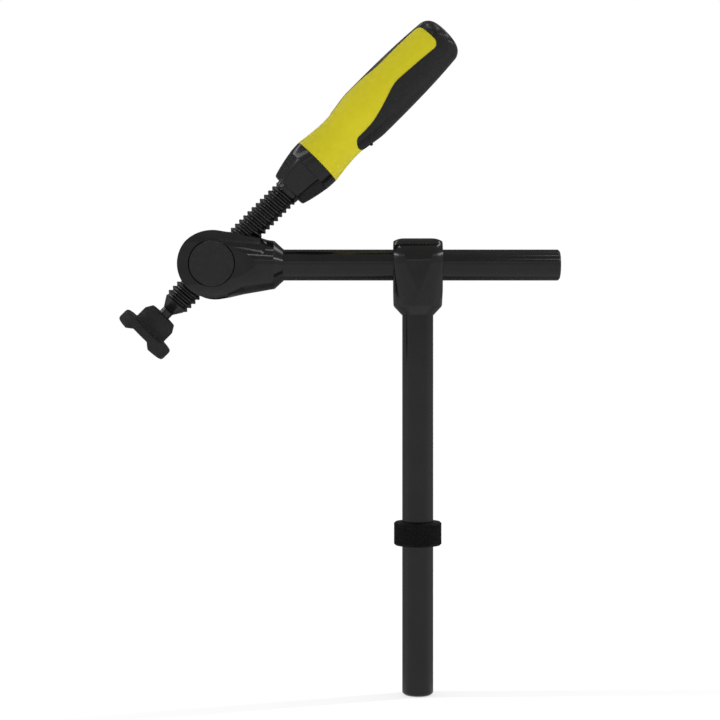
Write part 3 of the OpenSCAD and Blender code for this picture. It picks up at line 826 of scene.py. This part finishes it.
for v in ferrule.verts:
    h = v.co.z / MM
    radius = math.hypot(v.co.x, v.co.y) / MM
    if h > HEX_LEN or radius < INSIDE_R:
        continue
    turn = math.atan2(v.co.y, v.co.x) - FLAT_CENTRES
    off = (turn + math.pi / 6) % (math.pi / 3) - math.pi / 6
    flat = (FLAT_LOW_R + flat_slope * h) / math.cos(off)
    wanted = soft_least(radius, flat, 2 * CORNER_SOFT)
    v.co.x *= wanted / radius
    v.co.y *= wanted / radius
FERRULE_PLACE = ALONG_SPINDLE @ Matrix.Translation((0, 0, THREAD_TOP * MM))
hand_over(
    ferrule, "ferrule_hex", "screw", gloss_black, "handle_ferrule",
    FERRULE_PLACE, sharp=32,
)

# %% [markdown]
# ## Handle core
# The yellow core is one hard moulding with a waist, a belly and a rounded end. Its outline is a smooth curve
# through a few stations, each with a height, a radius and a slope.

# %% Handle core
HANDLE_LEN = 92.5
END_ROUND = 6.0
STATIONS = (
    (0, BASE_R, -0.11),
    (17, 12.05, 0),
    (36, 14.05, 0.005),
    (HANDLE_LEN - END_ROUND, 12.6, -0.09),
)
TAIL_AT, TAIL_R = STATIONS[-1][:2]
CORE_EDGE = 0.25
CORE_INSET = 0.2
CORE_ROWS = 70
CORE_STEPS = 160


def blend(a, b, x):
    """Cubic between two stations."""
    span = b[0] - a[0]
    t = (x - a[0]) / span
    rise = 3 * t ** 2 - 2 * t ** 3
    return a[1] + (b[1] - a[1]) * rise + span * (a[2] * t * (1 - t) ** 2 - b[2] * t ** 2 * (1 - t))


def handle_radius(h):
    """Radius of the core at a height. It stays the same past the last station."""
    for a, b in zip(STATIONS, STATIONS[1:]):
        if h <= b[0]:
            return blend(a, b, h)
    return TAIL_R


def end_curve(change, parts=10):
    """Outline of the rounded end, from the side to the axis."""
    r = END_ROUND + change
    arc = [math.pi / 2 * k / parts for k in range(1, parts + 1)]
    return [(TAIL_R - END_ROUND + r * math.cos(a), TAIL_AT + r * math.sin(a)) for a in arc]


core_heights = [CORE_EDGE + (TAIL_AT - CORE_EDGE) * k / CORE_ROWS for k in range(CORE_ROWS + 1)]
core_outline = [(0, 0), (BASE_R - CORE_INSET, 0)] + [(handle_radius(h), h) for h in core_heights]
core_outline += end_curve(0) + [(0, HANDLE_LEN)]
HANDLE_TURN = Matrix.Rotation(math.radians(-28), 4, "Z")
HANDLE_PLACE = FERRULE_PLACE @ Matrix.Translation((0, 0, FERRULE_LEN * MM)) @ HANDLE_TURN
core = lathe(core_outline, CORE_STEPS)
hand_over(core, "handle_yellow", "screw", yellow_core, "handle_core", HANDLE_PLACE)

# %% [markdown]
# ## Soft grip
# The black grip is moulded over the core: a rounded tongue on each side that widens upwards, and a cap where
# the two meet. Each tongue is a grid that is wrapped on the handle. Its rows follow the height and its
# columns the angle, and a Solidify modifier gives it its thickness. A shallow crease runs up from each tip,
# and a small pip stands on the edge of one tongue.

# %% Soft grip
GRIP_PROUD = 0.25
GRIP_THICK = 1.6
TIP_AT = 19.4
TIP_ROUND = 4.2
TIP_HALF = 6.1
TIP_SLOPE = 0.11
KNEE_SLOPE = 0.2
KNEE_SOFT = 0.12
WIDE_AT = 53.0
WINDOW_HALF = 7.3
WINDOW_END_HALF = 8.5
WINDOW_END = 85.0
WINDOW_ROUND = 3.5
CREASE_END = 46.0
CREASE_FADE = 8.0
CREASE_DEPTH = 0.2
CREASE_WIDTH = 0.45
CREASE_TURN = (math.radians(-5), math.radians(0))
COLUMNS = 72
TIP_ROWS = 14
TONGUE_ROWS = 26
WINDOW_ROWS = 14
CORNER_ROWS = 12
END_ROWS = 12
WINDOW_STEP = 0.02
LEAST_R = 0.01
SHOULDER_AT = TIP_AT + TIP_ROUND
CORNER_AT = WINDOW_END - WINDOW_ROUND


def tongue_angle(h, radius):
    """Half the angle that a tongue covers below its knee."""
    if h <= SHOULDER_AT:
        short = (SHOULDER_AT - h) / TIP_ROUND
        return math.asin(TIP_HALF * math.sqrt(max(0, 1 - short ** 2)) / radius)
    wide = math.sqrt(handle_radius(WIDE_AT) ** 2 - WINDOW_HALF ** 2)
    half = blend((SHOULDER_AT, TIP_HALF, TIP_SLOPE), (WIDE_AT, wide, KNEE_SLOPE), min(h, WIDE_AT))
    half += KNEE_SLOPE * max(0, h - WIDE_AT)
    return math.asin(min(1, half / radius))


def window_angle(h, radius):
    """Half the angle that a tongue covers beside the window."""
    along = min(h, CORNER_AT) - WIDE_AT
    half = WINDOW_HALF + (WINDOW_END_HALF - WINDOW_HALF) * along / (CORNER_AT - WIDE_AT)
    if h > CORNER_AT:
        rise = min(1, (h - CORNER_AT) / WINDOW_ROUND)
        half -= WINDOW_ROUND * (1 - math.sqrt(1 - rise ** 2))
    return math.pi / 2 - math.asin(half / radius)


def grip_angle(h, radius):
    """Half the angle of a tongue or of the cap, with a soft knee between tongue and window."""
    if h >= WINDOW_END:
        return math.pi / 2
    return soft_least(tongue_angle(h, radius), window_angle(h, radius), KNEE_SOFT)


rows = [TIP_AT + TIP_ROUND * (1 - math.cos(math.pi / 2 * k / TIP_ROWS)) for k in range(TIP_ROWS + 1)]
rows += [SHOULDER_AT + (WIDE_AT - SHOULDER_AT) * k / TONGUE_ROWS for k in range(1, TONGUE_ROWS + 1)]
rows += [WIDE_AT + (CORNER_AT - WIDE_AT) * k / WINDOW_ROWS for k in range(1, WINDOW_ROWS + 1)]
rows += [CORNER_AT + WINDOW_ROUND * math.sin(math.pi / 2 * k / CORNER_ROWS) for k in range(1, CORNER_ROWS)]
rows += [WINDOW_END - WINDOW_STEP]
profile = [(handle_radius(min(h, TAIL_AT)) + GRIP_PROUD, h) for h in rows]
cap_heights = (WINDOW_END + WINDOW_STEP, (WINDOW_END + TAIL_AT) / 2, TAIL_AT)
profile += [(handle_radius(h) + GRIP_PROUD, h) for h in cap_heights]
profile += end_curve(GRIP_PROUD, END_ROWS)
profile += [((TAIL_R - END_ROUND) * k / 4, HANDLE_LEN + GRIP_PROUD) for k in (3, 2, 1, 0)]

grip = bmesh.new()
for side in (0, 1):
    made = bmesh.ops.create_grid(grip, x_segments=COLUMNS, y_segments=len(profile) - 1, size=1)
    for v in made["verts"]:
        across = v.co.x
        radius, h = profile[round((v.co.y + 1) / 2 * (len(profile) - 1))]
        angle = grip_angle(h, max(radius, LEAST_R))
        if h < CREASE_END:
            up = (h - TIP_AT) / (CREASE_END - TIP_AT)
            crease = CREASE_TURN[0] + (CREASE_TURN[1] - CREASE_TURN[0]) * up
            off = (across * angle - crease) * radius
            fade = min(1, (CREASE_END - h) / CREASE_FADE)
            radius -= CREASE_DEPTH * math.exp(-(off / CREASE_WIDTH) ** 2) * fade
        turn = across * angle + side * math.pi
        v.co = (radius * math.cos(turn) * MM, radius * math.sin(turn) * MM, h * MM)
bmesh.ops.remove_doubles(grip, verts=grip.verts, dist=2 * COARSE_WELD)
bmesh.ops.dissolve_degenerate(grip, edges=grip.edges, dist=COARSE_WELD)
bmesh.ops.recalc_face_normals(grip, faces=grip.faces)
soft_grip = hand_over(
    grip, "handle_soft_grip", "screw", black_grip, "handle_grip", HANDLE_PLACE, sharp=45,
)
shell = soft_grip.modifiers.new("shell", "SOLIDIFY")
shell.thickness = GRIP_THICK * MM
shell.offset = -1

# %% Pip
PIP_AT = 26.0
PIP_TURN = math.radians(28)
PIP_SIZE = (0.9, 0.8, 0.9)

pip = bmesh.new()
out = Matrix.Translation(((handle_radius(PIP_AT) + GRIP_PROUD) * MM, 0, PIP_AT * MM))
spot = Matrix.Rotation(PIP_TURN, 4, "Z") @ out @ Matrix.Diagonal((*PIP_SIZE, 1))
bmesh.ops.create_uvsphere(pip, u_segments=24, v_segments=16, radius=MM, matrix=spot)
hand_over(pip, "grip_pip", "screw", black_grip, None, HANDLE_PLACE)

# %% [markdown]
# ## Pressure pad
# The foot that presses on the work is a turned flange with a hub. A socket in the hub takes the ball of the
# spindle, and a shallow groove across the underside grips a tube.

# %% Pressure pad
PAD_R = 15.4
PAD_LOW = -10.3
PAD_TOP = -3.3
HUB_R = 9.5
HUB_TOP = 7.1
HUB_TOP_R = 7.4
HUB_BEND = 3.5
MOUTH_R = 5.2
SEAT_R = 5.05
CHAMBER_R = 6.5
CHAMBER = (1.5, 5.1)
GROOVE_DEEP = 2.75
GROOVE_FLOOR = 5.0
GROOVE_MOUTH = 8.0
GROOVE_PAST = 1
GROOVE_REACH = 20
SEAT_PARTS = 12
SEAT_STEP = 0.1
PAD_STEPS = 160

seat_arc = [math.pi / 2 * k / SEAT_PARTS for k in range(SEAT_PARTS + 1)]
pad_outline = [(SEAT_R * math.sin(a), -SEAT_R * math.cos(a)) for a in seat_arc]
pad_outline += [(MOUTH_R, SEAT_STEP), (MOUTH_R, CHAMBER[0])]
pad_outline += [(CHAMBER_R, CHAMBER[0]), (CHAMBER_R, CHAMBER[1])]
pad_outline += softened([
    (CHAMBER_R, CHAMBER[1]), (MOUTH_R, CHAMBER[1]), (MOUTH_R, HUB_TOP, 0.4), (HUB_TOP_R, HUB_TOP, 0.5),
    (HUB_R, HUB_BEND, 0.6), (HUB_R, PAD_TOP, 1.6), (PAD_R, PAD_TOP, 1.8), (PAD_R, PAD_LOW, 1.8),
    (0, PAD_LOW),
], 6)
pad = lathe(pad_outline, PAD_STEPS)
flare = (GROOVE_MOUTH - GROOVE_FLOOR) / GROOVE_DEEP
half_groove = [
    (GROOVE_FLOOR, PAD_LOW + GROOVE_DEEP), (GROOVE_MOUTH + flare * GROOVE_PAST, PAD_LOW - GROOVE_PAST),
]
groove_outline = half_groove + [(-x, z) for x, z in reversed(half_groove)]
pad = carve(pad, prism(groove_outline, GROOVE_REACH))
PAD_PLACE = ALONG_SPINDLE @ Matrix.Translation((0, 0, BALL_DROP * MM))
hand_over(pad, "pad_foot", "pad", pad_steel, "pressure_pad", PAD_PLACE, sharp=28)

# %% [markdown]
# ## Stop collar
# The collar has a fine diamond knurl for the fingers. Two sets of slanting waves cross on its side, and each
# point of a fine lathe piece moves in where a wave is low, so that the points of the diamonds stand out.

# %% Stop collar
COLLAR_R = 12.2
COLLAR_H = 12.0
COLLAR_EDGE = 0.8
KNURL_COUNT = 56
KNURL_DEPTH = 0.45
KNURL_ROWS = 56
KNURL_STEPS = 6
KNURL_FADE = 0.5
SIDE_TOLERANCE = 0.05
COLLAR_BORE = BAR_R + 0.1

side = [COLLAR_EDGE + (COLLAR_H - 2 * COLLAR_EDGE) * k / KNURL_ROWS for k in range(KNURL_ROWS + 1)]
collar_outline = [(COLLAR_BORE, 0), (COLLAR_R - COLLAR_EDGE, 0)] + [(COLLAR_R, h) for h in side]
collar_outline += [(COLLAR_R - COLLAR_EDGE, COLLAR_H), (COLLAR_BORE, COLLAR_H), (COLLAR_BORE, 0)]
collar = lathe(collar_outline, KNURL_COUNT * KNURL_STEPS)
for v in collar.verts:
    radius = math.hypot(v.co.x, v.co.y)
    if radius < (COLLAR_R - SIDE_TOLERANCE) * MM:
        continue
    turn = math.atan2(v.co.y, v.co.x)
    climb = v.co.z / (COLLAR_R * MM)
    waves = [abs(math.sin(KNURL_COUNT / 2 * (turn + s * climb))) for s in (-1, 1)]
    from_edge = min(v.co.z / MM - COLLAR_EDGE, COLLAR_H - COLLAR_EDGE - v.co.z / MM)
    fade = min(1, from_edge / KNURL_FADE)
    sunk = 1 - KNURL_DEPTH * MM / radius * (1 - min(waves)) * fade
    v.co.x *= sunk
    v.co.y *= sunk
hand_over(collar, "collar_knurled", "collar", knurl_steel, "stop_collar", sharp=60)

# %% [markdown]
# ## Pieces that keep their CAD shape
# The barrel nut, the pins, the rubber rings and the clip have the right shape already, so they only get their
# finishes.

# %% Finishes for the CAD pieces
kept = {
    "barrel_nut": matt_steel,
    "post_pin": spring_steel,
    "arm_pin": spring_steel,
    "handle_pin": spring_steel,
    "pad_clip": spring_steel,
    "arm_ring_left": ring_rubber,
    "arm_ring_right": ring_rubber,
    "collar_ring": ring_rubber,
}
for name, material in kept.items():
    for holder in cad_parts[name].material_slots:
        holder.material = material
print("finished", len(kept), "CAD pieces")

# %% [markdown]
# ## Sizes
# The visual model has to keep the size of the CAD model, so both boxes are kept together in one dictionary,
# and the visual box is printed.

# %% Sizes
low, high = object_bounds()
sizes = {"cad": [list(cad_low), list(cad_high)], "visual": [list(low), list(high)]}
print("visual box", [round(v, 4) for v in (*low, *high)])
